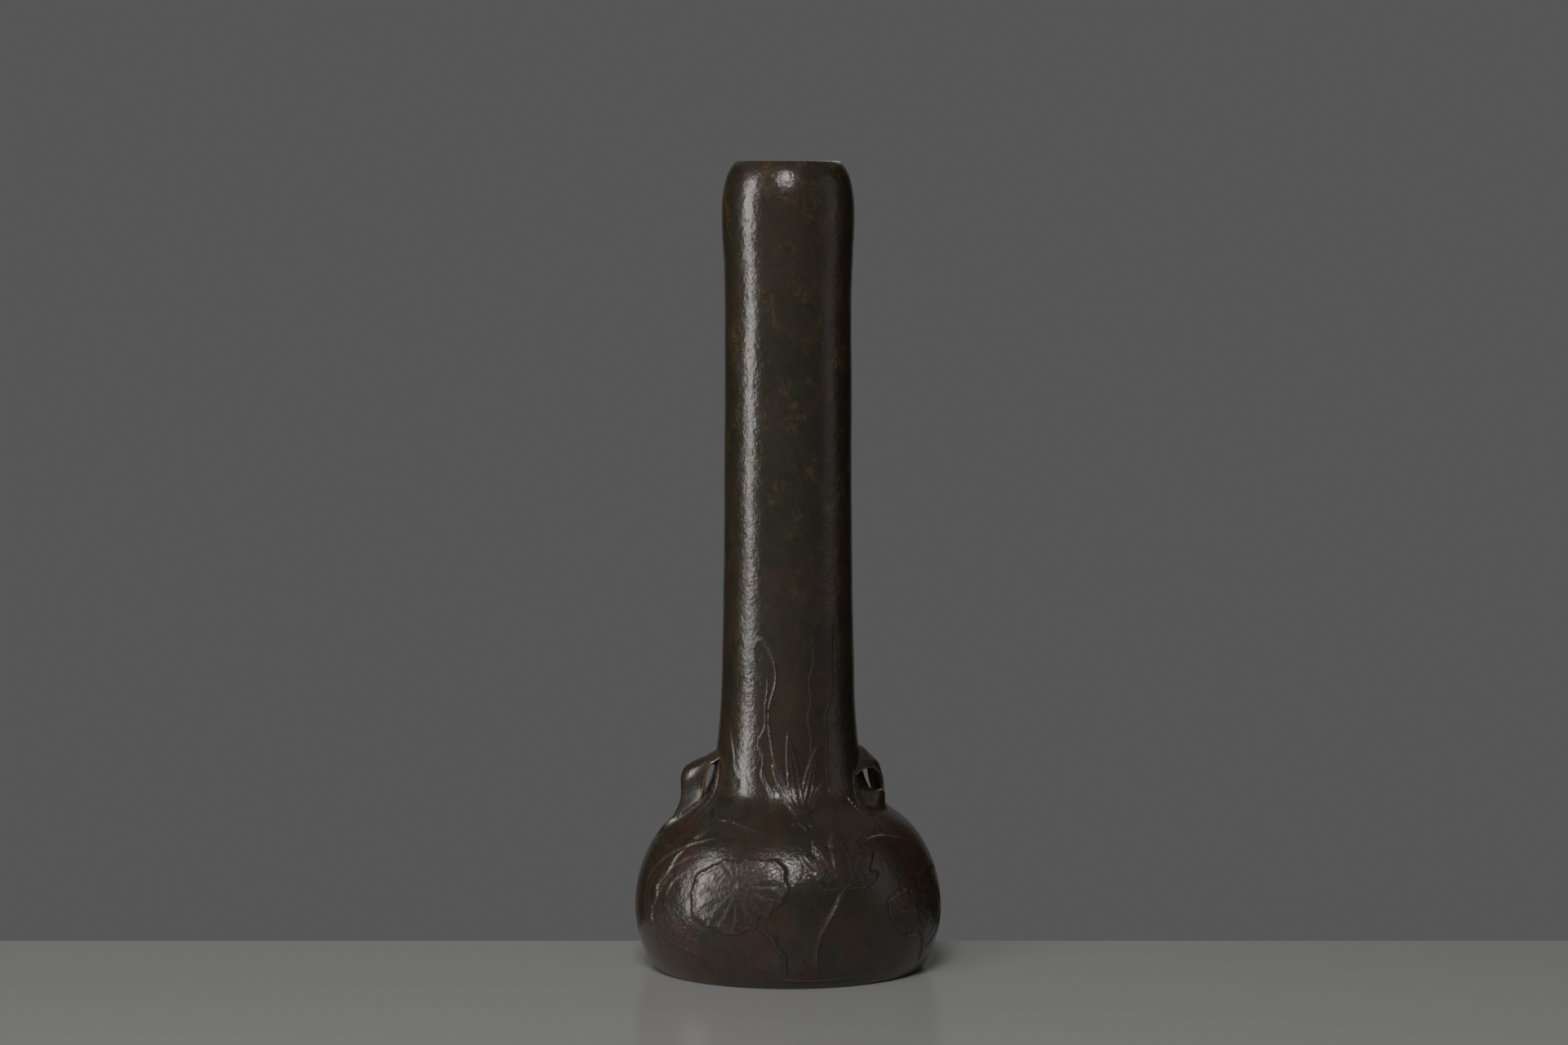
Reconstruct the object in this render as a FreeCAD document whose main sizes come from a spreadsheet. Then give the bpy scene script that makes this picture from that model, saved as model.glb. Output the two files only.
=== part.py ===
import FreeCAD, Part
import math
import os
import re

import Sketcher

# Tall bronze bottle vase, in millimetres, +Z up, origin on the axis at the
# underside of the foot ring.
#
# The vase is cast in two lengths. The belly carries the foot ring, the low
# bulb, the shoulder and the root of the neck. The neck laps into it and is
# pinned. A round plate is soldered into the foot from below, and two small
# leaf handles are riveted on the shoulder through the wall.

SIZES = {
    # Outline of the vase
    "vase_height": 360,
    "belly_radius": 68.6,
    "belly_height": 27,
    "foot_radius": 59,
    "shoulder_height": 99.1,
    "joint_radius": 29.5,
    "joint_height": 140,
    "neck_radius": 28.2,
    "mouth_radius": 29.5,
    "mouth_depth": 23,
    "lip_radius": 22.6,
    "lip_width": 1.8,
    # Thickness of the two castings
    "belly_wall": 3,
    "neck_wall": 2.9,
    # Foot ring and the plate that closes it
    "ring_width": 3.5,
    "ledge_width": 3.5,
    "ledge_thickness": 3,
    "plate_thickness": 2.5,
    "plate_recess": 1.5,
    "plate_clearance": 0.1,
    "plate_chamfer": 0.4,
    "solder_leg": 1.2,
    # Lap joint between belly and neck
    "lap_length": 12,
    "lap_skin": 1.5,
    "lap_clearance": 0.1,
    "pin_radius": 1.2,
    "pin_clearance": 0.05,
    # Leaf handles: turns about the axis are from the middle of the leaf
    "left_handle_azimuth": 180,
    "right_handle_azimuth": 0,
    "handle_reach": 11,
    "handle_wall": 1.6,
    "handle_tail_angle": 20,
    "handle_hood_angle": 34,
    "handle_rim_angle": 49,
    # Rivets that hold the handles
    "rivet_radius": 0.8,
    "rivet_clearance": 0.05,
    "rivet_grip": 1.8,
    "rivet_head_radius": 1.9,
    "rivet_head_height": 1,
    "rivet_head_bite": 0.5,
}

PIN_COUNT = 4

# Places and lengths that follow from the sizes
REBATE_RADIUS = "(foot_radius - ring_width)"
LEDGE_RADIUS = "(foot_radius - ring_width - ledge_width)"
PLATE_TOP = "(plate_recess + plate_thickness)"
LEDGE_TOP = "(plate_recess + plate_thickness + ledge_thickness)"
INNER_BELLY_RADIUS = "(belly_radius - belly_wall)"
LAP_FLOOR = "(joint_height - lap_length)"
LAP_RADIUS = "(joint_radius - lap_skin)"
SPIGOT_RADIUS = "(joint_radius - lap_skin - lap_clearance)"
SPIGOT_END = "(joint_height - lap_length + lap_clearance)"
BORE_RADIUS = "(joint_radius - neck_wall)"
OPENING_RADIUS = "(lip_radius - lip_width)"
INNER_MOUTH_RADIUS = "(mouth_radius - neck_wall)"
MOUTH_HEIGHT = "(vase_height - mouth_depth)"

# Every curve of the outline has four poles, and its last pole is the first one
# of the next curve.

# Foot: share of the way out from foot to belly, share of the way up to the
# widest circle.
FOOT_SHARES = [(0, 0), (0.22, 0.01), (1, 0.456), (1, 1)]

# Shoulder: share of the way out from joint to belly, share of the way up from
# the widest circle, and the way the wall lies from outside to inside, as shares
# of its thickness inwards and downwards. Then the same for the concave turn.
SHOULDER_SHARES = [
    (1, 0, 1, 0),
    (1, 0.309, 1, 0.35),
    (0.701, 0.488, 0.88, 0.54),
    (0.647, 0.516, 0.69, 0.72),
]
TURN_SHARES = [
    (0.647, 0.516, 0.69, 0.72),
    (0.371, 0.66, 0.89, 0.53),
    (0.161, 0.65, 0.94, 0.47),
    (0.087, 0.892, 0.99, 0.16),
]

# Root of the neck: share out from joint to belly, share of the way up from
# shoulder to joint.
ROOT_SHARES = [(0.003, 0.291), (0.006, 0.78)]

# Inside of the foot: share of the way out from ledge to inner belly, share of
# the way up from ledge to the widest circle.
INNER_FOOT_SHARES = [(0, 0), (0.52, 0), (1, 0.25), (1, 1)]

# Inside of the root, up to the floor of the lap: share of the way up from
# shoulder to lap floor.
INNER_ROOT_SHARES = [0.39, 0.72]

# Neck and its swelling: share of the way from neck radius to mouth radius,
# share of the way up from joint to mouth.
NECK_SHARES = [(-0.08, 0.254), (0.23, 0.529), (0, 0.732)]
SWELLING_SHARES = [(0, 0.732), (-0.23, 0.898), (1, 0.925), (1, 1)]

# Mouth: share of the way out from lip to mouth radius, share of the mouth depth
# below the lip. Then the inside of the mouth, out from the opening.
MOUTH_SHARES = [(1, 1), (1, 0.174), (0.087, 0), (0, 0)]
INNER_MOUTH_SHARES = [(1, 1), (1, 0.26), (0, 0.15), (0, 0.03)]

# Round edge inside the lip: shares of the lip's width out from the opening, and
# of the mouth depth below the lip.
LIP_EDGE_SHARES = [(0, 0.03), (0, 0.01), (0.1, 0), (0.35, 0)]

# Hollow face of the solder bead, as shares of its leg: inwards from the foot
# ring, down from the plate.
SOLDER_SHARES = [(0, 1), (0.25, 0.5), (0.5, 0.25), (1, 0)]

# Outer line of the strap of a leaf handle in each upright cut, from the root on
# the neck to the root on the shoulder: share out along the shoulder, share of
# the way up the shoulder, share of the reach. The two handles were modelled by
# hand and differ: the left one bulges more and runs further down.
TAIL_SHARES = [
    (0, 0.961, -0.45),
    (0.003, 0.942, 0.1),
    (0.009, 0.923, 0.4),
    (0.035, 0.845, 0.55),
    (0.09, 0.759, 0.41),
    (0.197, 0.68, 0.2),
    (0.362, 0.61, -0.51),
]
LEFT_CREST_SHARES = [
    (0, 1.006, -0.44),
    (0.012, 0.94, 0.17),
    (0.004, 0.941, 0.81),
    (0.046, 0.829, 1.3),
    (0.267, 0.68, 0.52),
    (0.328, 0.629, 0.52),
    (0.684, 0.463, -0.16),
]
RIGHT_CREST_SHARES = [
    (0, 1.006, -0.45),
    (0, 0.999, 0.02),
    (0.001, 0.953, 0.44),
    (0.026, 0.873, 0.62),
    (0.07, 0.791, 0.71),
    (0.198, 0.685, 0.38),
    (0.548, 0.541, -0.88),
]
LEFT_HOOD_SHARES = [
    (0.353, 0.708, -1.8),
    (0.009, 0.831, -0.25),
    (0, 0.905, 1.07),
    (0, 0.893, 1.97),
    (0.154, 0.78, 1.99),
    (0.823, 0.578, -0.26),
    (1.112, 0.458, -1.02),
]
RIGHT_HOOD_SHARES = [
    (0.352, 0.708, -1.8),
    (0.007, 0.831, -0.21),
    (0, 0.9, 0.94),
    (0, 0.883, 1.74),
    (0.156, 0.779, 1.71),
    (0.42, 0.687, 0.57),
    (0.936, 0.541, -1.3),
]

# Thickness of the strap at each pole of a cut: the roots are thicker, and the
# two free rims are thinner than the middle of the leaf.
TAIL_WALL_SHARES = [1.3, 1.1, 0.9, 0.8, 0.8, 1, 1.2]
CREST_WALL_SHARES = [2, 1.8, 1.2, 1, 1.2, 2.2, 2.6]
HOOD_WALL_SHARES = [1.2, 1, 0.9, 0.8, 0.8, 1, 1.2]

# The three cuts of each handle: its name, its line, its wall, the place of its
# root as a share out from joint to belly and a turn about the axis, and the
# direction in which the cut runs out.
HANDLE_CUTS = {
    "left": [
        ("tail", TAIL_SHARES, TAIL_WALL_SHARES, 0.07, "handle_tail_angle", "handle_tail_angle"),
        ("crest", LEFT_CREST_SHARES, CREST_WALL_SHARES, 0.07, "0", "handle_tail_angle"),
        ("hood", LEFT_HOOD_SHARES, HOOD_WALL_SHARES, 0.11, "-handle_hood_angle", "handle_rim_angle"),
    ],
    "right": [
        ("tail", TAIL_SHARES, TAIL_WALL_SHARES, 0.07, "handle_tail_angle", "handle_tail_angle"),
        ("crest", RIGHT_CREST_SHARES, CREST_WALL_SHARES, 0.07, "0", "handle_tail_angle"),
        ("hood", RIGHT_HOOD_SHARES, HOOD_WALL_SHARES, 0.11, "-handle_hood_angle", "handle_rim_angle"),
    ],
}

# Where the two rivets of each handle cross the wall: name, turn as a share of
# the turn to the tail, share out along the shoulder, share of the way up, and
# the tilt of the rivet above level.
RIVET_PLACES = {
    "left": [("top", 0.25, 0.07, 0.947, 0), ("foot", 0.4, 0.49, 0.587, 50)],
    "right": [("top", 0.25, 0.07, 0.947, 0), ("foot", 0.35, 0.291, 0.667, 60)],
}

# Domed head of a rivet: share of its radius, share of its height.
DOME_SHARES = [(0, 1), (0.6, 1), (1, 0.6), (1, 0)]


doc = FreeCAD.newDocument("bottle_vase")
sheet = doc.addObject("Spreadsheet::Sheet", "Sizes")
for row, (name, number) in enumerate(SIZES.items(), start=1):
    sheet.set(f"A{row}", name)
    sheet.set(f"B{row}", str(number))
    sheet.setAlias(f"B{row}", name)
doc.recompute()


def bound(formula):
    """Write a formula on the named sizes so that it reads the sheet."""
    return re.sub(r"[a-z]\w+",
                  lambda found: f"Sizes.{found.group()}" if found.group() in SIZES else found.group(),
                  formula)


def value(formula):
    """Present value of a formula on the named sizes."""
    return float(sheet.evalExpression(bound(formula)))


def between(first, last, share):
    """Formula of the place a share of the way from first to last."""
    return f"({first} + {share} * ({last} - {first}))"


def origin_plane(body, role):
    return next(plane for plane in body.Origin.OriginFeatures if plane.Role == role)


def fix_point(sketch, geometry, point, place):
    """Hold a point of a sketch at a radius and a height, each a formula."""
    for kind, axis, formula in zip(("DistanceX", "DistanceY"), (-2, -1), place):
        if formula == "0":
            sketch.addConstraint(Sketcher.Constraint("PointOnObject", geometry, point, axis))
            continue
        index = sketch.addConstraint(
            Sketcher.Constraint(kind, -1, 1, geometry, point, value(formula)))
        sketch.setExpression(f"Constraints[{index}]", bound(formula))


def add_curve(sketch, places, goes_on):
    """Cubic B-spline with a pole at each place, which starts and ends on its end poles.

    When it goes on from another curve, its first pole is held by that curve's end.
    """
    poles = [FreeCAD.Vector(value(radius), value(height), 0) for radius, height in places]
    spans = len(poles) - 3
    ends = [4] + [1] * (spans - 1) + [4]
    spline = Part.BSplineCurve()
    spline.buildFromPolesMultsKnots(poles, ends, list(range(spans + 1)), False, 3)
    curve = sketch.addGeometry(spline, False)
    circles = [sketch.addGeometry(Part.Circle(pole, FreeCAD.Vector(0, 0, 1), 1), True)
               for pole in poles]
    sketch.addConstraint(Sketcher.Constraint("Weight", circles[0], 1.0))
    for circle in circles[1:]:
        sketch.addConstraint(Sketcher.Constraint("Equal", circles[0], circle))
    for pole, circle in enumerate(circles):
        sketch.addConstraint(Sketcher.Constraint(
            "InternalAlignment:Sketcher::BSplineControlPoint", circle, 3, curve, pole))
    held = list(zip(circles, places))
    for circle, place in held[1:] if goes_on else held:
        fix_point(sketch, circle, 3, place)
    return curve


def add_outline(sketch, pieces):
    """Closed outline of curves and straight runs.

    Each piece is a list of places. A list of two is a straight run, and a longer one is the
    poles of a curve. Each piece starts where the one before it ends.
    """
    edges = []
    for before, places in zip(pieces[-1:] + pieces, pieces):
        if len(places) > 2:
            edges.append(add_curve(sketch, places, len(before) > 2))
            continue
        first, last = [FreeCAD.Vector(value(radius), value(height), 0) for radius, height in places]
        edges.append(sketch.addGeometry(Part.LineSegment(first, last), False))
    for before, after in zip(edges, edges[1:] + edges[:1]):
        sketch.addConstraint(Sketcher.Constraint("Coincident", before, 2, after, 1))
    for edge, places, following in zip(edges, pieces, pieces[1:] + pieces[:1]):
        if len(places) == 2 and len(following) == 2:
            fix_point(sketch, edge, 2, places[1])


def new_sketch(body, name):
    """Sketch on the upright plane through the axis."""
    sketch = body.newObject("Sketcher::SketchObject", name)
    sketch.AttachmentSupport = [(origin_plane(body, "XZ_Plane"), "")]
    sketch.MapMode = "FlatFace"
    return sketch


def turned_body(name, pieces):
    """Body made by turning a closed outline about the axis."""
    body = doc.addObject("PartDesign::Body", name)
    sketch = new_sketch(body, f"{name}_outline")
    add_outline(sketch, pieces)
    turning = body.newObject("PartDesign::Revolution", f"{name}_turning")
    turning.Profile = sketch
    turning.ReferenceAxis = (sketch, ["V_Axis"])
    turning.Angle = 360
    return body


def point_outwards(piece, start, azimuth, height, tilt):
    """Put a piece at a distance from the axis and a height, with its own Z axis pointing
    away from the vase's axis and raised by a tilt."""
    turn = bound(f"({azimuth})")
    along = bound(start)
    piece.setExpression(
        "Placement",
        f"placement(vector({along} * cos({turn} * 1deg); {along} * sin({turn} * 1deg); "
        f"{bound(height)}); rotation({turn}; 90 - {tilt}; 0))")


def spoke(name, radius, start, length, azimuth, height, tilt=0):
    """Cylinder that points away from the axis, raised by a tilt in degrees.

    It starts at a distance from the axis and a height. All but the tilt are formulas.
    """
    rod = doc.addObject("Part::Cylinder", name)
    rod.setExpression("Radius", bound(radius))
    rod.setExpression("Height", bound(length))
    point_outwards(rod, start, azimuth, height, tilt)
    return rod


def group(name, pieces):
    gathered = doc.addObject("Part::Compound", name)
    gathered.Links = pieces
    return gathered


def combine(kind, name, base, tool):
    """Boolean of two shapes: Part::Cut, Part::Common or Part::Fuse."""
    result = doc.addObject(kind, name)
    result.Base = base
    result.Tool = tool
    return result


# Outline of the vase, shared by the belly, the neck and all that seats on them

def on_shoulder(out, up):
    """Place at a share out from joint to belly and a share up the shoulder."""
    return (between("joint_radius", "belly_radius", out),
            between("belly_height", "shoulder_height", up))


foot_curve = [(between("foot_radius", "belly_radius", out), f"({up} * belly_height)")
              for out, up in FOOT_SHARES]
foot_curve[0] = ("foot_radius", "0")
shoulder_curve = [on_shoulder(out, up) for out, up, inward, downward in SHOULDER_SHARES]
turn_curve = [on_shoulder(out, up) for out, up, inward, downward in TURN_SHARES]
joint_pole = ("joint_radius", "joint_height")
root_curve = [turn_curve[-1]]
root_curve += [(between("joint_radius", "belly_radius", out),
                between("shoulder_height", "joint_height", up)) for out, up in ROOT_SHARES]
root_curve += [joint_pole]
belly_curves = [foot_curve, shoulder_curve, turn_curve, root_curve]

neck_curve = [joint_pole]
neck_curve += [(between("neck_radius", "mouth_radius", out),
                between("joint_height", MOUTH_HEIGHT, up)) for out, up in NECK_SHARES]
swelling_curve = [(between("neck_radius", "mouth_radius", out),
                   between("joint_height", MOUTH_HEIGHT, up)) for out, up in SWELLING_SHARES]
mouth_curve = [(between("lip_radius", "mouth_radius", out), f"(vase_height - {down} * mouth_depth)")
               for out, down in MOUTH_SHARES]
mouth_curve[-1] = ("lip_radius", "vase_height")


# The solid form inside the outline of the belly, which cuts the handles to fit

belly_form = turned_body("belly_form", belly_curves + [
    [joint_pole, ("0", "joint_height")],
    [("0", "joint_height"), ("0", "0")],
    [("0", "0"), ("foot_radius", "0")],
])


# Belly casting, before its holes are drilled

def inside_wall(curve, shares):
    """Curve that lies a wall's thickness inside an outer one."""
    return [(f"({radius} - {inward} * belly_wall)", f"({height} - {downward} * belly_wall)")
            for (radius, height), (out, up, inward, downward) in zip(curve, shares)]


inner_foot_curve = [(between(LEDGE_RADIUS, INNER_BELLY_RADIUS, out),
                     between(LEDGE_TOP, "belly_height", up)) for out, up in INNER_FOOT_SHARES]
inner_shoulder_curve = inside_wall(shoulder_curve, SHOULDER_SHARES)
inner_turn_curve = inside_wall(turn_curve, TURN_SHARES)
bore_pole = (BORE_RADIUS, LAP_FLOOR)
inner_root_curve = [inner_turn_curve[-1]]
inner_root_curve += [(BORE_RADIUS, between("shoulder_height", LAP_FLOOR, up))
                     for up in INNER_ROOT_SHARES]
inner_root_curve += [bore_pole]

belly_blank = turned_body("belly_blank", belly_curves + [
    [joint_pole, (LAP_RADIUS, "joint_height")],
    [(LAP_RADIUS, "joint_height"), (LAP_RADIUS, LAP_FLOOR)],
    [(LAP_RADIUS, LAP_FLOOR), bore_pole],
    inner_root_curve[::-1],
    inner_turn_curve[::-1],
    inner_shoulder_curve[::-1],
    inner_foot_curve[::-1],
    [inner_foot_curve[0], (LEDGE_RADIUS, PLATE_TOP)],
    [(LEDGE_RADIUS, PLATE_TOP), (REBATE_RADIUS, PLATE_TOP)],
    [(REBATE_RADIUS, PLATE_TOP), (REBATE_RADIUS, "0")],
    [(REBATE_RADIUS, "0"), ("foot_radius", "0")],
])


# Neck casting, before its holes are drilled

inner_neck_curve = [(f"({radius} - neck_wall)", height) for radius, height in neck_curve]
inner_swelling_curve = [(f"({radius} - neck_wall)", height) for radius, height in swelling_curve]
inner_mouth_curve = [(between(OPENING_RADIUS, INNER_MOUTH_RADIUS, out),
                      f"(vase_height - {down} * mouth_depth)") for out, down in INNER_MOUTH_SHARES]
lip_edge_curve = [(f"({OPENING_RADIUS} + {out} * lip_width)", f"(vase_height - {down} * mouth_depth)")
                  for out, down in LIP_EDGE_SHARES]

neck_blank = turned_body("neck_blank", [
    neck_curve,
    swelling_curve,
    mouth_curve,
    [mouth_curve[-1], lip_edge_curve[-1]],
    lip_edge_curve[::-1],
    inner_mouth_curve[::-1],
    inner_swelling_curve[::-1],
    inner_neck_curve[::-1],
    [inner_neck_curve[0], (BORE_RADIUS, SPIGOT_END)],
    [(BORE_RADIUS, SPIGOT_END), (SPIGOT_RADIUS, SPIGOT_END)],
    [(SPIGOT_RADIUS, SPIGOT_END), (SPIGOT_RADIUS, "joint_height")],
    [(SPIGOT_RADIUS, "joint_height"), joint_pole],
])


# Base plate: a disc with a broken upper edge, seated against the ledge

base_plate = doc.addObject("PartDesign::Body", "base_plate")
plate_sketch = base_plate.newObject("Sketcher::SketchObject", "plate_outline")
plate_sketch.AttachmentSupport = [(origin_plane(base_plate, "XY_Plane"), "")]
plate_sketch.MapMode = "FlatFace"
plate_radius = f"({REBATE_RADIUS} - plate_clearance)"
plate_circle = Part.Circle(FreeCAD.Vector(), FreeCAD.Vector(0, 0, 1), value(plate_radius))
plate_sketch.addGeometry(plate_circle, False)
plate_sketch.addConstraint(Sketcher.Constraint("Coincident", 0, 3, -1, 1))
plate_size = plate_sketch.addConstraint(Sketcher.Constraint("Radius", 0, value(plate_radius)))
plate_sketch.setExpression(f"Constraints[{plate_size}]", bound(plate_radius))
plate_disc = base_plate.newObject("PartDesign::Pad", "plate_disc")
plate_disc.Profile = plate_sketch
plate_disc.setExpression("Length", bound("plate_thickness"))
doc.recompute()
upper_edge = next(f"Edge{number}" for number, edge in enumerate(plate_disc.Shape.Edges, start=1)
                  if edge.BoundBox.ZMin > value("plate_thickness / 2"))
broken_edge = base_plate.newObject("PartDesign::Chamfer", "plate_broken_edge")
broken_edge.Base = (plate_disc, [upper_edge])
broken_edge.setExpression("Size", bound("plate_chamfer"))
plate_seat = bound("plate_recess")
base_plate.setExpression("Placement", f"placement(vector(0; 0; {plate_seat}); rotation(0; 0; 0))")


# Solder bead in the corner between the plate's underside and the foot ring

bead_curve = [(f"({REBATE_RADIUS} - {inward} * solder_leg)", f"(plate_recess - {down} * solder_leg)")
              for inward, down in SOLDER_SHARES]
base_solder = turned_body("base_solder", [
    bead_curve,
    [bead_curve[-1], (REBATE_RADIUS, "plate_recess")],
    [(REBATE_RADIUS, "plate_recess"), bead_curve[0]],
])


# Leaf handles: each is a bent leaf lofted through three upright cuts that stand
# at different slants to the axis, coped to the belly and drilled for its rivets

def strap_outline(root, shares, walls):
    """Outer line, shoulder root, inner line and neck root of the strap in one cut."""
    outer = [(f"({root} + {out} * (belly_radius - joint_radius) + {reach} * handle_reach)",
              between("belly_height", "shoulder_height", up)) for out, up, reach in shares]
    points = [(value(radius), value(height)) for radius, height in outer]
    inner = []
    for pole, (radius, height) in enumerate(outer):
        before = points[max(pole - 1, 0)]
        after = points[min(pole + 1, len(points) - 1)]
        along = math.dist(before, after)
        inward = (before[1] - after[1]) / along * walls[pole]
        downward = (after[0] - before[0]) / along * walls[pole]
        inner.append((f"({radius} - {inward:.3f} * handle_wall)",
                      f"({height} - {downward:.3f} * handle_wall)"))
    inner.reverse()
    return [outer, [outer[-1], inner[0]], inner, [inner[-1], outer[0]]]


def leaf_strap(side):
    """Strap of one handle, before it is coped."""
    strap = doc.addObject("PartDesign::Body", f"{side}_strap")
    sketches = []
    for name, shares, walls, out, turn, direction in HANDLE_CUTS[side]:
        sketch = new_sketch(strap, f"{side}_{name}")
        root = between("joint_radius", "belly_radius", out)
        slant = f"(({turn} - {direction}) * 1deg)"
        heading = f"({direction} * 1deg)"
        aside = f"({root} * sin{slant})"
        sketch.setExpression("AttachmentOffset", bound(
            f"placement(vector(-{aside} * sin{heading}; 0; -{aside} * cos{heading}); "
            f"rotation(vector(0; 1; 0); {direction}))"))
        add_outline(sketch, strap_outline(f"{root} * cos{slant}", shares, walls))
        sketches.append(sketch)
    loft = strap.newObject("PartDesign::AdditiveLoft", f"{side}_leaf")
    loft.Profile = sketches[0]
    loft.Sections = sketches[1:]
    azimuth = bound(f"{side}_handle_azimuth")
    strap.setExpression("Placement", f"placement(vector(0; 0; 0); rotation({azimuth}; 0; 0))")
    return strap


def rivet_parts(side):
    """Drills, shanks and uncut heads of the two rivets of one handle."""
    drills = []
    shanks = []
    heads = []
    dome = [(f"({out} * rivet_head_radius)", f"(-{down} * rivet_head_height)")
            for out, down in DOME_SHARES]
    dome[0] = ("0", "(-rivet_head_height)")
    shank = "(belly_wall + rivet_grip)"
    for name, turn, out, up, tilt in RIVET_PLACES[side]:
        azimuth = f"{side}_handle_azimuth + {turn} * handle_tail_angle"
        radius, height = on_shoulder(out, up)
        start = f"({radius} - belly_wall * cos({tilt}deg))"
        foot = f"({height} - belly_wall * sin({tilt}deg))"
        label = f"{side}_{name}"
        drills.append(spoke(f"{label}_drill", "(rivet_radius + rivet_clearance)", start,
                            f"({shank} + rivet_clearance)", azimuth, foot, tilt))
        shanks.append(spoke(f"{label}_shank", "rivet_radius", start, shank, azimuth, foot, tilt))
        head = turned_body(f"{label}_head", [
            dome,
            [dome[-1], ("rivet_head_radius", "rivet_head_bite")],
            [("rivet_head_radius", "rivet_head_bite"), ("0", "rivet_head_bite")],
            [("0", "rivet_head_bite"), dome[0]],
        ])
        point_outwards(head, start, azimuth, foot, tilt)
        heads.append(head)
    return drills, shanks, heads


belly_drills = []
exported = {"base_plate": base_plate, "base_solder": base_solder}
for side in ("left", "right"):
    drills, shanks, heads = rivet_parts(side)
    belly_drills += drills
    coped = combine("Part::Cut", f"{side}_coped", leaf_strap(side), belly_form)
    handle = combine("Part::Cut", f"{side}_handle", coped, group(f"{side}_drills", drills))
    exported[f"{side}_handle"] = handle
    seated = combine("Part::Cut", f"{side}_heads_seated", group(f"{side}_heads", heads), belly_blank)
    rivets = doc.addObject("Part::MultiFuse", f"{side}_handle_rivets")
    rivets.Shapes = [seated] + shanks
    exported[f"{side}_handle_rivets"] = rivets


# Pins through the lap, from the outside of the belly to the bore of the neck

pin_drills = []
pins = []
for number in range(PIN_COUNT):
    azimuth = f"{360 / PIN_COUNT * (number + 0.5)}"
    height = "(joint_height - lap_length / 2)"
    pin_drills.append(spoke(f"pin_drill_{number + 1}", "(pin_radius + pin_clearance)",
                            f"({BORE_RADIUS} - pin_radius)", "(neck_wall + 2 * pin_radius)",
                            azimuth, height))
    pins.append(spoke(f"pin_{number + 1}", "pin_radius", BORE_RADIUS, "(neck_wall + pin_radius)",
                      azimuth, height))
exported["neck_joint_pins"] = combine("Part::Common", "neck_joint_pins",
                                      group("pin_rods", pins), belly_form)


# The two castings with their holes

exported["belly"] = combine("Part::Cut", "belly", belly_blank,
                            group("belly_drills", belly_drills + pin_drills))
exported["neck"] = combine("Part::Cut", "neck", neck_blank, group("neck_drills", pin_drills))


doc.recompute()
faults = [obj.Label for obj in doc.Objects if "Invalid" in obj.State or "Error" in obj.State]
faults += [node for node, obj in exported.items() if obj.Shape.isNull() or not obj.Shape.isValid()]
if faults:
    raise RuntimeError("These objects failed: " + ", ".join(faults))

os.makedirs("parts", exist_ok=True)
for node, obj in exported.items():
    obj.Label = node
    obj.Shape.exportStep(f"parts/{node}.step")
    print(f"{node}: {len(obj.Shape.Solids)} solids, {obj.Shape.Volume / 1000:.2f} cm3")
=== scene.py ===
"""Tall cast bronze bottle vase with a low relief of water plants and two leaf handles.

Everything is in metres, +Z up, with the vase's axis at the origin and its foot on the table.
The side that the photograph shows looks along -Y, and degrees count from there to the right.
"""

import logging
import math
from dataclasses import dataclass, field
from enum import Enum
from typing import Iterable, Sequence

import bmesh
import bpy
import numpy as np
from mathutils import Matrix, Vector, geometry


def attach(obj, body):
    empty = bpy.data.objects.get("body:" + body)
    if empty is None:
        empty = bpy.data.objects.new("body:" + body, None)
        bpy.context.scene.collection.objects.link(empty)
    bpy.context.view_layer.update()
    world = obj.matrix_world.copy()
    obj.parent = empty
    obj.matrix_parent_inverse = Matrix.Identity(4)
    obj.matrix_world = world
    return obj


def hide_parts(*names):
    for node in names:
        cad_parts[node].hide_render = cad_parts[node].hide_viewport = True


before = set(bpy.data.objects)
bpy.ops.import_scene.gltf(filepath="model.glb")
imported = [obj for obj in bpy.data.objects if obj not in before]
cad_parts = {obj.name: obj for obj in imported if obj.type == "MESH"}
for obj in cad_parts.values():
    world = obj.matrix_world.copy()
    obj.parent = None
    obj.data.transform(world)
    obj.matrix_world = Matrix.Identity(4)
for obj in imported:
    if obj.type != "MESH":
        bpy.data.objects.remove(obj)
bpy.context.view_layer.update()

log = logging.getLogger("vase")
MM = 0.001
Places = Sequence[tuple[float, float]]


# Shader maths


class Wire:
    """A value or a colour on its way from one shader node to another."""

    def __init__(self, tree: "Nodes", socket: bpy.types.NodeSocket) -> None:
        """Hold a socket of a node tree."""
        self.tree = tree
        self.socket = socket

    def _maths(self, operation: str, *values: "Wire | float") -> "Wire":
        """Add one Math node."""
        return self.tree.node("ShaderNodeMath", {"operation": operation}, dict(enumerate(values)))

    def __add__(self, other: "Wire | float") -> "Wire":
        """Sum."""
        return self._maths("ADD", self, other)

    __radd__ = __add__

    def __sub__(self, other: "Wire | float") -> "Wire":
        """Difference."""
        return self._maths("SUBTRACT", self, other)

    def __rsub__(self, other: float) -> "Wire":
        """Difference from a number."""
        return self._maths("SUBTRACT", other, self)

    def __mul__(self, other: "Wire | float") -> "Wire":
        """Product."""
        return self._maths("MULTIPLY", self, other)

    __rmul__ = __mul__

    def held(self) -> "Wire":
        """The value held between 0 and 1."""
        return self._maths("MINIMUM", self._maths("MAXIMUM", self, 0.0), 1.0)

    def step(self, low: float, high: float) -> "Wire":
        """0 below the low value, 1 above the high one, smooth between them."""
        return self.tree.node("ShaderNodeMapRange", {"interpolation_type": "SMOOTHSTEP"},
                              {"Value": self, "From Min": low, "From Max": high})


@dataclass(frozen=True)
class Grain:
    """One noise of a finish, as its scale per metre, its detail and its roughness."""

    scale: float
    detail: float
    roughness: float


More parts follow.
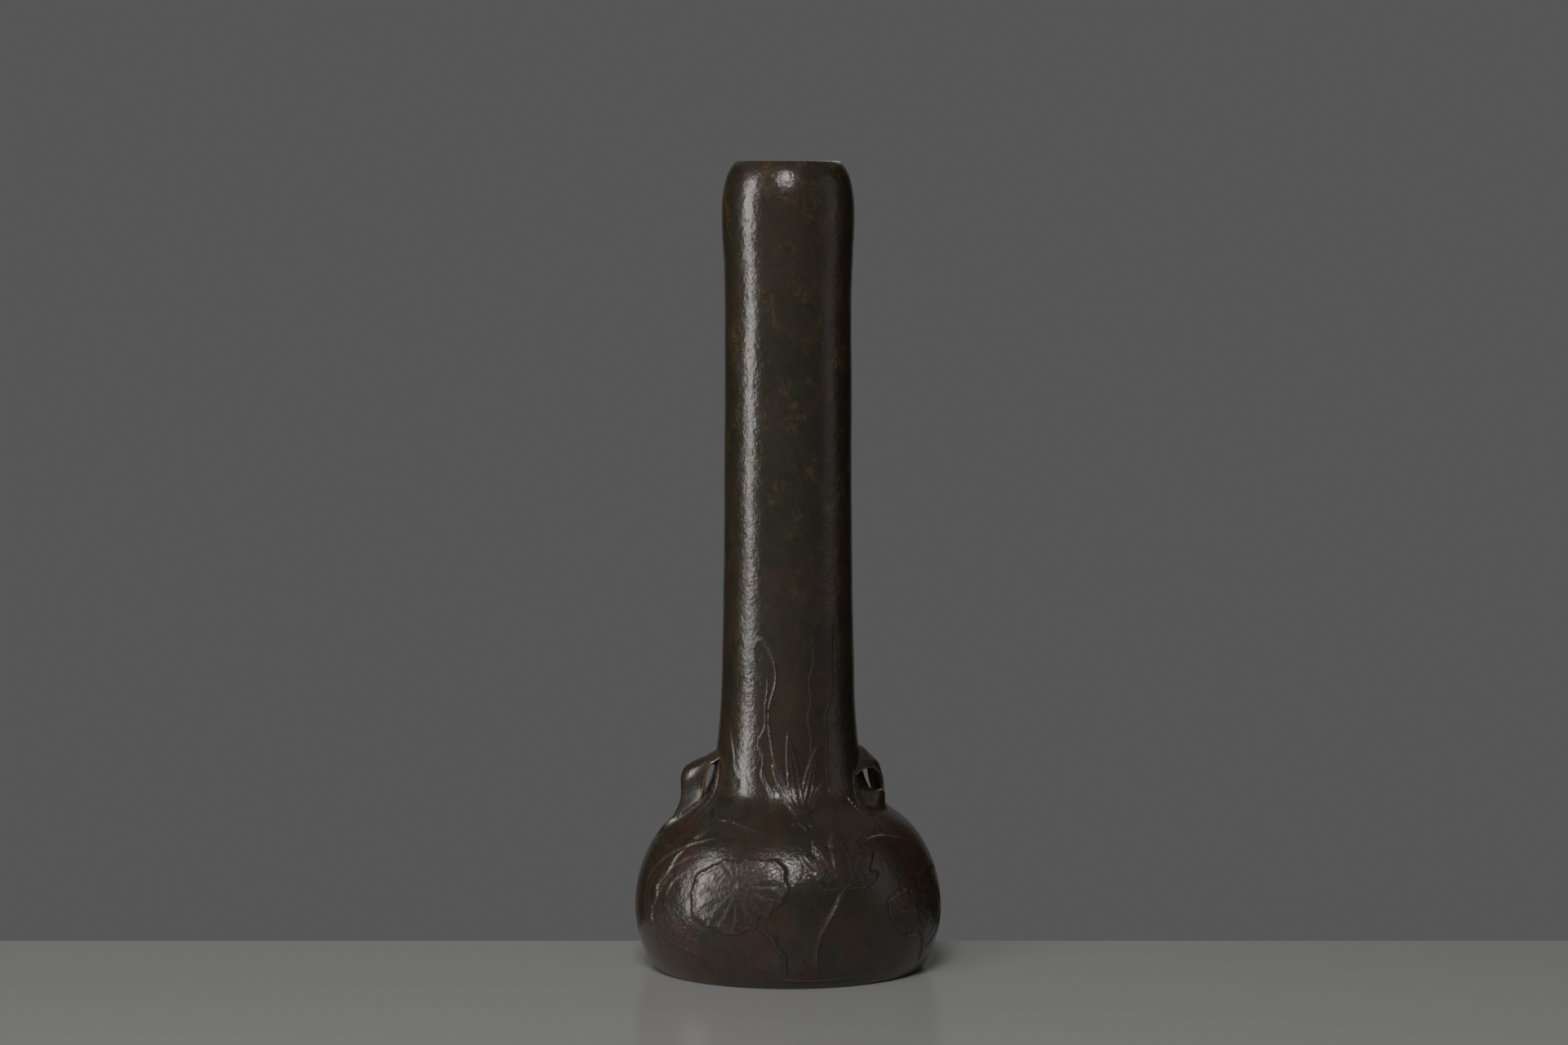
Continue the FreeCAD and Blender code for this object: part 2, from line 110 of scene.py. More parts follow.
class Nodes:
    """Builds the nodes of one tree."""

    def __init__(self, tree: bpy.types.NodeTree) -> None:
        """Hold the tree."""
        self.nodes = tree.nodes
        self.links = tree.links

    def node(self, kind: str, settings: dict[str, object], values: dict[object, object],
             output: int | str = 0) -> Wire:
        """Add a node.

        Args:
            kind: The node's type.
            settings: Its own settings, which are set before its sockets.
            values: A number, a colour or a wire for each socket, by name or place.
            output: The socket that is handed on, by name or place.

        Returns:
            The wire from that output.
        """
        node = self.nodes.new(kind)
        for name, setting in settings.items():
            setattr(node, name, setting)
        for name, value in values.items():
            self.feed(node.inputs[name], value)
        return Wire(self, node.outputs[output])

    def feed(self, socket: bpy.types.NodeSocket, value: object) -> None:
        """Link a wire to a socket, or set the socket to a number or a colour.

        Args:
            socket: The socket that is fed.
            value: What feeds it.
        """
        if isinstance(value, Wire):
            self.links.new(value.socket, socket)
        elif isinstance(value, tuple) and len(value) == 3 and socket.type == "RGBA":
            socket.default_value = (*value, 1.0)
        else:
            socket.default_value = value


class Finishing(Nodes):
    """Builds the nodes of one material."""

    def __init__(self, name: str) -> None:
        """Start a material with one surface shader.

        Args:
            name: The material's name.
        """
        self.material = bpy.data.materials.new(name)
        self.material.use_nodes = True
        super().__init__(self.material.node_tree)
        self.shader = self.nodes["Principled BSDF"]

    def noise(self, place: Wire, grain: Grain) -> Wire:
        """Noise from 0 to 1.

        Args:
            place: Where the surface is.
            grain: How coarse the noise is.

        Returns:
            The wire of the noise.
        """
        return self.node("ShaderNodeTexNoise", {},
                         {"Vector": place, "Scale": grain.scale, "Detail": grain.detail,
                          "Roughness": grain.roughness})

    def blend(self, share: Wire, first: object, last: object) -> Wire:
        """Colour between two colours.

        Args:
            share: How much there is of the last one.
            first: The colour at a share of 0.
            last: The colour at a share of 1.

        Returns:
            The wire of the colour.
        """
        return self.node("ShaderNodeMix", {"data_type": "RGBA", "clamp_factor": True},
                         {0: share, 6: first, 7: last}, 2)

    def place(self, stretch: tuple[float, float, float] = (1.0, 1.0, 1.0)) -> Wire:
        """Place on the object, stretched along its axes."""
        where = self.node("ShaderNodeTexCoord", {}, {}, "Object")
        return self.node("ShaderNodeMapping", {}, {"Vector": where, "Scale": stretch})

    def attribute(self, name: str) -> Wire:
        """A number that the mesh carries at each vertex."""
        return self.node("ShaderNodeAttribute", {"attribute_name": name}, {}, "Fac")

    def dent(self, height: Wire, strength: float, depth: float) -> None:
        """Give the surface shader a bump.

        Args:
            height: Height over the surface.
            strength: How much of the bump shows.
            depth: Metres that a height of 1 stands for.
        """
        bump = self.node("ShaderNodeBump", {},
                         {"Strength": strength, "Distance": depth, "Height": height})
        self.feed(self.shader.inputs["Normal"], bump)


@dataclass(frozen=True)
class BronzeFinish:
    """Waxed dark patina on cast bronze, mottled, with bright worn ridges, darker recesses in the
    relief, and painted shade on the lower half of each leaf handle.
    """

    name: str
    brown: tuple[float, float, float] = (0.042, 0.0285, 0.018)
    green: tuple[float, float, float] = (0.029, 0.0255, 0.0155)
    red: tuple[float, float, float] = (0.066, 0.025, 0.0155)
    gold: tuple[float, float, float] = (0.135, 0.082, 0.03)
    worn: tuple[float, float, float] = (0.26, 0.17, 0.11)
    # Dark colour for the random dark film, for the relief's recesses, and for the painted shade on
    # the lower half of each leaf handle.
    soot_and_shade: tuple[float, float, float] = (0.014, 0.012, 0.009)
    roughness: float = 0.21
    metallic: float = 0.15
    specular: float = 0.6
    coat: float = 0.1
    coat_roughness: float = 0.22
    bump: float = 0.36
    bump_depth: float = 0.0006
    rub: float = 0.55
    gilding: float = 0.75
    # How strongly the recess_and_shade attribute darkens: the relief's recesses, and painted shade
    # on the lower half of each leaf handle.
    film: float = 0.35
    recess_and_shade_weight: float = 0.6
    nicks: float = 0.45
    red_fades: tuple[float, float] = (0.03, 0.14)
    gold_starts: tuple[float, float] = (0.12, 0.3)
    stretch: tuple[float, float, float] = (1.0, 1.0, 0.6)
    cloud_grain: Grain = Grain(24.0, 4.0, 0.6)
    blotch_grain: Grain = Grain(62.0, 6.0, 0.68)
    tall_grain: Grain = Grain(115.0, 6.0, 0.66)
    film_grain: Grain = Grain(150.0, 5.0, 0.7)
    wave_grain: Grain = Grain(240.0, 2.0, 0.5)
    speck_grain: Grain = Grain(430.0, 4.0, 0.65)
    peel_grain: Grain = Grain(620.0, 2.0, 0.5)
    grit_grain: Grain = Grain(1300.0, 2.0, 0.6)

    def material(self) -> bpy.types.Material:
        """Build the material.

        Returns:
            The material.
        """
        finish = Finishing(self.name)
        place = finish.place()
        cloud = finish.noise(place, self.cloud_grain)
        blotch = finish.noise(place, self.blotch_grain)
        tall = finish.noise(finish.place(self.stretch), self.tall_grain)
        speck = finish.noise(place, self.speck_grain)
        grit = finish.noise(place, self.grit_grain)
        peel = finish.noise(place, self.peel_grain)
        wave = finish.noise(place, self.wave_grain)
        up = finish.node("ShaderNodeSeparateXYZ", {}, {"Vector": place}, "Z")
        low = 1.0 - up.step(*self.red_fades)
        high = up.step(*self.gold_starts)
        ridge = finish.attribute("ridge")
        recess_and_shade = finish.attribute("recess_and_shade")

        colour = finish.blend(cloud.step(0.42, 0.58), self.brown, self.green)
        reddened = blotch.step(0.47, 0.64) * (low * 0.75 + 0.06) * (speck * 0.8 + 0.55)
        colour = finish.blend(reddened.held(), colour, self.red)
        gilt = tall.step(0.5, 0.66) * speck.step(0.4, 0.6) * (high * 0.7 + 0.25)
        colour = finish.blend(gilt * self.gilding, colour, self.gold)
        dark = finish.noise(place, self.film_grain).step(0.45, 0.62)
        # Darken towards the dark colour: random dark film, the relief's recesses, and painted shade
        # on the lower half of each leaf handle.
        sooted_and_shaded = dark * self.film + recess_and_shade * self.recess_and_shade_weight
        colour = finish.blend(sooted_and_shaded.held(), colour, self.soot_and_shade)
        rubbed = (ridge * (speck * 0.9 + 0.35)).step(0.4, 1.05)
        colour = finish.blend(rubbed * self.rub, colour, self.worn)
        nick = grit.step(0.72, 0.78)
        colour = finish.blend(nick * self.nicks, colour, self.worn)

        rough = self.roughness + blotch * 0.16 + speck * 0.12 - rubbed * 0.06 + recess_and_shade * 0.35 - 0.12
        shade = finish.shader.inputs
        finish.feed(shade["Base Color"], colour)
        finish.feed(shade["Roughness"], rough.held())
        finish.feed(shade["Metallic"], (self.metallic + rubbed * 0.5 + gilt * 0.15).held())
        shade["Specular IOR Level"].default_value = self.specular
        shade["Coat Weight"].default_value = self.coat
        shade["Coat Roughness"].default_value = self.coat_roughness
        height = wave * 1.1 + peel * 0.55 + speck * 0.45 + grit * 0.2
        finish.dent(height, self.bump, self.bump_depth)
        return finish.material


@dataclass(frozen=True)
class WireFinish:
    """Drawn and hammered bronze of a rivet or a soldered seam."""

    name: str
    dark: tuple[float, float, float]
    light: tuple[float, float, float]
    metallic: float
    roughness: float
    bump: float = 0.5
    bump_depth: float = 0.0004
    mottle_grain: Grain = Grain(260.0, 5.0, 0.6)
    dent_grain: Grain = Grain(900.0, 3.0, 0.5)

    def material(self) -> bpy.types.Material:
        """Build the material.

        Returns:
            The material.
        """
        finish = Finishing(self.name)
        place = finish.place()
        mottle = finish.noise(place, self.mottle_grain)
        dents = finish.noise(place, self.dent_grain)
        shade = finish.shader.inputs
        colour = finish.blend(mottle.step(0.38, 0.66), self.dark, self.light)
        finish.feed(shade["Base Color"], colour)
        finish.feed(shade["Roughness"], (self.roughness + dents * 0.2 - 0.1).held())
        shade["Metallic"].default_value = self.metallic
        finish.dent(mottle + dents * 0.6, self.bump, self.bump_depth)
        return finish.material


# Lines and surfaces


def run_of(curves: Sequence[Places], spacing: float) -> list[Vector]:
    """Points along a chain of four-pole curves, in the XZ plane.

    Args:
        curves: Radius and height of each pole, in millimetres. A list of two is a straight run.
        spacing: Rough distance between points, in millimetres.

    Returns:
        The points, in metres, without a double point where two curves meet.
    """
    points: list[Vector] = []
    for poles in curves:
        ends = [Vector((radius * MM, 0.0, height * MM)) for radius, height in poles]
        if len(ends) == 2:
            ends = [ends[0], ends[0].lerp(ends[1], 1 / 3), ends[0].lerp(ends[1], 2 / 3), ends[1]]
        length = sum((after - before).length for before, after in zip(ends, ends[1:]))
        count = max(2, round(length / (spacing * MM)) + 1)
        piece = geometry.interpolate_bezier(*ends, count)
        points += piece if not points else piece[1:]
    return points


def clamped_spline(poles: np.ndarray, count: int) -> np.ndarray:
    """Points of the cubic spline that starts and ends on its end poles.

    Args:
        poles: One row of coordinates for each pole.
        count: Number of points.

    Returns:
        One row of coordinates for each point.
    """
    spans = len(poles) - 3
    knots = np.concatenate([np.zeros(3), np.arange(spans + 1), np.full(3, spans)]).astype(float)
    places = np.linspace(0.0, spans - 1e-9, count)
    weights = ((places[:, None] >= knots[:-1]) & (places[:, None] < knots[1:])).astype(float)
    for degree in range(1, 4):
        left = knots[degree:-1] - knots[:-degree - 1]
        right = knots[degree + 1:] - knots[1:-degree]
        rise = np.divide(places[:, None] - knots[:-degree - 1], left,
                         out=np.zeros((count, len(left))), where=left > 0)
        fall = np.divide(knots[degree + 1:] - places[:, None], right,
                         out=np.zeros((count, len(right))), where=right > 0)
        weights = rise * weights[:, :-1] + fall * weights[:, 1:]
    return weights @ poles


def bump_shape(distance: np.ndarray) -> np.ndarray:
    """Smooth ridge that is 1 at no distance and 0 from a distance of 1 on."""
    return np.clip(1.0 - distance ** 2, 0.0, 1.0) ** 2


def soft_step(value: np.ndarray, low: float, high: float) -> np.ndarray:
    """0 at the low value, 1 at the high one, smooth between them."""
    share = np.clip((value - low) / (high - low), 0.0, 1.0)
    return share * share * (3.0 - 2.0 * share)


@dataclass(frozen=True)
class Outline:
    """Outline of the vase, as chains of four-pole curves in millimetres."""

    foot: Places = ((59, 0), (61.1, 0.3), (68.6, 12.3), (68.6, 27))
    shoulder: Places = ((68.6, 27), (68.6, 49.3), (56.9, 62.2), (54.8, 64.2))
    turn: Places = ((54.8, 64.2), (44.0, 74.6), (35.8, 73.9), (32.9, 91.3))
    root: Places = ((32.9, 91.3), (29.6, 111.0), (29.7, 131.0), (29.5, 140))
    neck: Places = ((29.5, 140), (28.1, 190), (28.5, 244.2), (28.2, 284.2))
    swelling: Places = ((28.2, 284.2), (27.9, 317), (29.5, 322.2), (29.5, 337))
    mouth: Places = ((29.5, 337), (29.5, 356), (23.2, 360), (22.6, 360))

    def samples(self) -> tuple[np.ndarray, np.ndarray, np.ndarray]:
        """Measure the outline from the foot up, in millimetres.

        Returns:
            The heights, the radii, and the lengths along the outline.
        """
        points = run_of([self.foot, self.shoulder, self.turn, self.root, self.neck,
                         self.swelling, self.mouth], 0.4)
        radius = np.array([point.x for point in points]) / MM
        height = np.array([point.z for point in points]) / MM
        along = np.concatenate([[0.0], np.cumsum(np.hypot(np.diff(radius), np.diff(height)))])
        return height, radius, along


OUTLINE = Outline()
HEIGHTS, RADII, ALONG = OUTLINE.samples()


def on_surface(turn: np.ndarray, height: np.ndarray) -> np.ndarray:
    """Points on the outline's surface.

    Args:
        turn: Degrees from the front, to the viewer's right.
        height: Millimetres above the table.

    Returns:
        One row of millimetres for each point.
    """
    radius = np.interp(height, HEIGHTS, RADII)
    angle = np.radians(turn)
    return np.stack([radius * np.sin(angle), -radius * np.cos(angle), height], axis=1)


# Relief


# A line's points for each of its poles, the speed of its sway, the space round it in
# millimetres where it is looked for, and half its width as a share of the given one.
STEPS_PER_POLE = 14
SWAY_SPEED = 21.0
LINE_SPACE = 3.0
HALF_SHARE = 0.62


class Ridge(Enum):
    """The ways a drawn line shows on the surface."""

    RAISED = 1.0
    CUT = -1.0


@dataclass(frozen=True)
class Line:
    """One line of the relief, through places given as degrees from the front and height."""

    through: Places
    width: float
    rise: float
    taper: float = 0.35
    kind: Ridge = Ridge.RAISED
    sway: float = 0.0

    def heights(self, points: np.ndarray) -> np.ndarray:
        """How far the line lifts each point of the surface, in millimetres.

        Args:
            points: One row of millimetres for each point.

        Returns:
            One height for each point.
        """
        ends = np.array(self.through, dtype=float)
        poles = np.vstack([ends[0], ends, ends[-1]]) if len(ends) < 4 else ends
        path = clamped_spline(poles, STEPS_PER_POLE * len(poles))
        swing = np.linspace(0.0, 1.0, len(path))
        path[:, 0] += (self.sway * np.sin(swing * math.pi)
                       * np.sin(swing * SWAY_SPEED + path[0, 0]))
        line = on_surface(path[:, 0], path[:, 1])
        low, high = line.min(0) - LINE_SPACE, line.max(0) + LINE_SPACE
        near = np.all((points > low) & (points < high), axis=1)
        lifted = np.zeros(len(points))
        chosen = points[near]
        best = np.zeros(len(chosen))
        for place, (start, end) in enumerate(zip(line, line[1:])):
            share = place / (len(line) - 2)
            close = min(1.0, 6.0 * min(share, 1.0 - share) + 0.1)
            thin = 1.0 - self.taper * (1.0 - close)
            step = end - start
            along = np.clip((chosen - start) @ step / max(step @ step, 1e-9), 0.0, 1.0)
            gap = np.linalg.norm(chosen - start - along[:, None] * step, axis=1)
            best = np.maximum(best, close * bump_shape(gap / (HALF_SHARE * self.width * thin)))
        lifted[near] = self.kind.value * self.rise * best
        return lifted


@dataclass(frozen=True)
class LocalForm:
    """A form of the relief round its own centre on the surface."""

    turn: float
    height: float
    lean: float

    def local(self, points: np.ndarray) -> tuple[np.ndarray, np.ndarray]:
        """Place of each point across and up the form, in millimetres on the surface.

        Args:
            points: One row of millimetres for each point.

        Returns:
            The places across, and the places up.
        """
        angle = np.degrees(np.arctan2(points[:, 0], -points[:, 1])) - self.turn
        angle = (angle + 180.0) % 360.0 - 180.0
        radius = np.hypot(points[:, 0], points[:, 1])
        centre = np.interp(self.height, HEIGHTS, ALONG)
        across = np.radians(angle) * radius
        up = np.interp(points[:, 2], HEIGHTS, ALONG) - centre
        lean = math.radians(self.lean)
        return (across * math.cos(lean) + up * math.sin(lean),
                up * math.cos(lean) - across * math.sin(lean))


@dataclass(frozen=True)
class RoundLeaf(LocalForm):
    """Round water leaf seen at a slant, with a waved margin and forked veins."""

    width: float
    depth: float
    rise: float
    veins: int

    def heights(self, points: np.ndarray) -> np.ndarray:
        """How far the leaf lifts each point of the surface, in millimetres.

        Args:
            points: One row of millimetres for each point.

        Returns:
            One height for each point.
        """
        across, up = self.local(points)
        heart = np.array([0.1 * self.width, 0.18 * self.depth])
        angle = np.arctan2(up - heart[1], across - heart[0])
        wave = 1.0 + 0.05 * np.sin(3 * angle + 0.6) + 0.035 * np.sin(8 * angle + self.turn)
        wave += 0.02 * np.sin(17 * angle) - 0.2 * bump_shape((angle + 1.2) / 0.22)
        reach = np.hypot(across / self.width, up / self.depth) / wave
        inside = soft_step(-reach, -1.0, -0.93)
        dish = 0.55 + 0.45 * soft_step(reach, 0.2, 0.95)
        margin = bump_shape((reach - 0.95) / 0.06)
        distance = np.hypot(across - heart[0], up - heart[1])
        turn = angle * self.veins / (2 * math.pi)
        off = np.abs(turn - np.round(turn)) * 2 * math.pi / self.veins
        vein = bump_shape(distance * np.sin(off) / (0.5 + 0.02 * distance))
        fork = np.abs(np.abs(turn - np.round(turn)) - 0.26 * soft_step(reach, 0.52, 0.98))
        branch = bump_shape(distance * np.sin(fork * 2 * math.pi / self.veins) / 0.5)
        branch *= soft_step(reach, 0.5, 0.62)
        ribs = np.maximum(vein * soft_step(-reach, -0.98, -0.5), branch) * inside
        knob = bump_shape(distance / 1.9)
        return self.rise * inside * dish + 0.3 * margin + 0.24 * ribs + 0.3 * knob


@dataclass(frozen=True)
class Petal(LocalForm):
    """Pointed petal, bud or blade that grows from its centre upwards."""

    length: float
    width: float
    rise: float
    lines: int = 1

    def heights(self, points: np.ndarray) -> np.ndarray:
        """How far the petal lifts each point of the surface, in millimetres.

        Args:
            points: One row of millimetres for each point.

        Returns:
            One height for each point.
        """
        across, up = self.local(points)
        share = np.clip(up / self.length, 0.0, 1.0)
        half = 0.5 * self.width * np.sin(math.pi * share ** 0.8) ** 0.75 + 1e-3
        side = np.abs(across) / half
        within = (up > 0.0) & (up < self.length)
        inside = np.where(within, soft_step(-side, -1.0, -0.72), 0.0)
        edge = np.where(within, bump_shape((side - 0.86) * half / 0.55), 0.0)
        edge *= soft_step(share, 0.0, 0.2) * soft_step(-share, -1.0, -0.85)
        crease = np.zeros(len(points))
        for number in range(self.lines):
            offset = (number - (self.lines - 1) / 2) * 0.55
            crease = np.maximum(crease, bump_shape((across / half - offset) * half / 0.4))
        crease *= inside * soft_step(share, 0.05, 0.3) * soft_step(-share, -0.95, -0.7)
        return self.rise * inside * (0.75 + 0.25 * (1 - side)) + 0.4 * edge + 0.25 * crease


@dataclass(frozen=True)
class Swelling(LocalForm):
    """Smooth low mound."""

    width: float
    depth: float
    rise: float

    def heights(self, points: np.ndarray) -> np.ndarray:
        """How far the mound lifts each point of the surface, in millimetres."""
        across, up = self.local(points)
        return self.rise * bump_shape(np.hypot(across / self.width, up / self.depth))


# Where the lip runs on the shoulder beside the left handle's opening.
LIP = ((-73, 82), (-73, 78), (-72, 74), (-74, 69), (-79, 64), (-86, 60))


@dataclass
class Relief:
    """Low relief of water plants round the belly and the root of the neck."""

    leaves: list[RoundLeaf] = field(default_factory=lambda: [
        RoundLeaf(-20, 42, 16, 24.0, 16.0, 0.7, 17),
        RoundLeaf(53, 31, -12, 17.0, 10.0, 0.6, 13),
        RoundLeaf(118, 33, -8, 16.0, 10.0, 0.6, 11),
        RoundLeaf(178, 40, -10, 25.0, 16.0, 0.8, 13),
        RoundLeaf(240, 30, 12, 17.0, 10.0, 0.6, 11),
    ])
    petals: list[Petal] = field(default_factory=lambda: [
        Petal(22, 46, 78, 18.0, 8.0, 0.7),
        Petal(22, 46, -78, 18.0, 8.0, 0.7),
        Petal(22, 46, 50, 22.0, 9.0, 0.85, 2),
        Petal(22, 46, -50, 22.0, 9.0, 0.85, 2),
        Petal(22, 45, 25, 25.0, 10.0, 1.0, 2),
        Petal(22, 45, -25, 25.0, 10.0, 1.0, 2),
        Petal(22, 44, 0, 28.0, 11.5, 1.3, 3),
        Petal(-47, 63, 14, 19.0, 8.0, 0.85, 3),
        Petal(-47, 63, -14, 12.0, 5.0, 0.5),
        Petal(6, 70, -14, 40.0, 5.5, 0.5, 1),
        Petal(9, 68, 6, 48.0, 6.0, 0.55, 1),
        Petal(13, 69, 24, 36.0, 5.5, 0.5, 1),
        Petal(2, 70, -34, 27.0, 4.5, 0.42, 1),
        Petal(-64, 70, 8, 30.0, 5.0, 0.4, 1),
        Petal(50, 66, -12, 34.0, 5.0, 0.45, 1),
        Petal(56, 64, 16, 26.0, 4.5, 0.4, 1),
        Petal(212, 59, 12, 20.0, 9.0, 0.95, 3),
        Petal(176, 70, -12, 44.0, 6.5, 0.6, 1),
        Petal(184, 69, 10, 52.0, 6.5, 0.6, 1),
        Petal(190, 70, 28, 34.0, 6.0, 0.5, 1),
        Petal(112, 68, 8, 34.0, 6.0, 0.5, 1),
        Petal(248, 68, -10, 30.0, 6.0, 0.5, 1),
    ])
    lines: list[Line] = field(default_factory=lambda: [
        Line(((22, 46), (19, 38), (12, 28), (9, 16), (12, 6)), 1.8, 0.8),
        Line(((-19, 40), (-11, 30), (-3, 20), (0, 12), (-2, 5)), 1.6, 0.7, sway=0.6),
        Line(((-48, 63), (-54, 52), (-60, 40), (-62, 26), (-57, 10)), 1.5, 0.65, sway=1.0),
        Line(((53, 31), (60, 22), (64, 14), (64, 5)), 1.4, 0.6),
        Line(((-4, 72), (-2, 86), (-12, 98), (-19, 112), (-10, 128), (-13, 146), (-26, 152),
              (-33, 146), (-28, 138)), 1.2, 0.5, sway=1.6),
        Line(((-7, 72), (-14, 82), (-22, 94), (-24, 108), (-15, 124), (-19, 140)), 1.0, 0.42,
             sway=2.0),
        Line(((27, 72), (34, 86), (29, 102), (36, 120), (44, 136), (37, 152), (46, 166)), 1.1, 0.5,
             sway=1.8),
        Line(((16, 84), (20, 104), (14, 122), (24, 142), (20, 158)), 0.9, 0.4, 0.8, sway=1.5),
        Line(((-34, 64), (-33, 74), (-40, 88), (-52, 98), (-58, 112)), 1.0, 0.42, 0.8, sway=1.2),
        Line(((-10, 66), (-22, 70), (-36, 72), (-46, 70)), 0.9, 0.4, 0.8),
        Line(((34, 62), (44, 66), (58, 64), (70, 58)), 0.9, 0.4, 0.8),
        Line(((-58, 58), (-68, 60), (-80, 56)), 0.9, 0.36, 0.8),
        Line(((64, 46), (74, 50), (84, 46)), 0.9, 0.36, 0.8),
        Line(((212, 60), (206, 46), (210, 30), (204, 14), (207, 6)), 2.0, 0.8),
        Line(((180, 38), (188, 28), (184, 14), (188, 5)), 1.9, 0.75),
        Line(((240, 30), (247, 18), (243, 6)), 1.8, 0.65),
        Line(((118, 33), (125, 20), (121, 6)), 1.8, 0.65),
        Line(((168, 70), (166, 88), (176, 106), (170, 126), (178, 148), (172, 166)), 1.7, 0.55,
             sway=2.0),
        Line(((197, 70), (205, 88), (198, 108), (206, 128), (199, 146)), 1.6, 0.5, sway=2.0),
        Line(((132, 66), (138, 78), (130, 96), (140, 118), (134, 138)), 1.6, 0.5, sway=2.0),
        Line(LIP, 3.0, 1.7),
        Line(LIP, 1.4, 2.1),
    ])
    mounds: list[Swelling] = field(default_factory=lambda: [
        Swelling(75, 76.5, -6, 13.0, 7.2, 6.2),
    ])
    pools: list[tuple[float, float, float, float]] = field(default_factory=lambda: [
        (-24, 38, 1.0, 0.0), (50, 30, 0.72, 180.0), (12, 12, 0.5, 90.0),
        (178, 38, 1.0, 180.0), (240, 28, 0.72, 0.0), (118, 30, 0.7, 180.0),
    ])

    rings: int = 5
    ring_poles: int = 7
    ring_degrees: float = 26.0
    ring_height: float = 15.5
    lowest: float = 4.5
    groove_drop: float = 1.2

    def ripples(self) -> Iterable[Line]:
        """Broken rings of water round the leaves, each a low ridge beside a shallow groove.

        Returns:
            The ridges and the grooves, one after the other.
        """
        for turn, height, size, start in self.pools:
            for ring in range(self.rings):
                reach = size * (1.12 + 0.17 * ring)
                first = start + 128.0 - 9.0 * ring * (-1) ** ring
                last = first + 118.0 + 14.0 * (ring % 3)
                around = np.radians(np.linspace(first, last, self.ring_poles))
                wide, tall = self.ring_degrees * reach, self.ring_height * reach
                path = [(turn + wide * math.cos(angle),
                         max(self.lowest, height + tall * math.sin(angle))) for angle in around]
                low = [(place, level - self.groove_drop) for place, level in path]
                yield Line(path, 1.1, 0.34, 0.95)
                yield Line(low, 0.9, 0.26, 0.95, Ridge.CUT)

    def drawn(self) -> Iterable[RoundLeaf | Petal | Line | Swelling]:
        """Go through all the forms.

        Returns:
            The forms, one after the other, the ripples last.
        """
        yield from self.mounds
        yield from self.leaves
        yield from self.petals
        yield from self.lines
        yield from self.ripples()

    def heights(self, points: np.ndarray) -> np.ndarray:
        """How far the relief lifts each point of the surface.

        Args:
            points: One row of millimetres for each point.

        Returns:
            One height in millimetres for each point.
        """
        low = np.zeros(len(points))
        high = np.zeros(len(points))
        for form in self.drawn():
            lift = form.heights(points)
            high = np.maximum(high, lift)
            low = np.minimum(low, lift)
        return high + low


# Castings


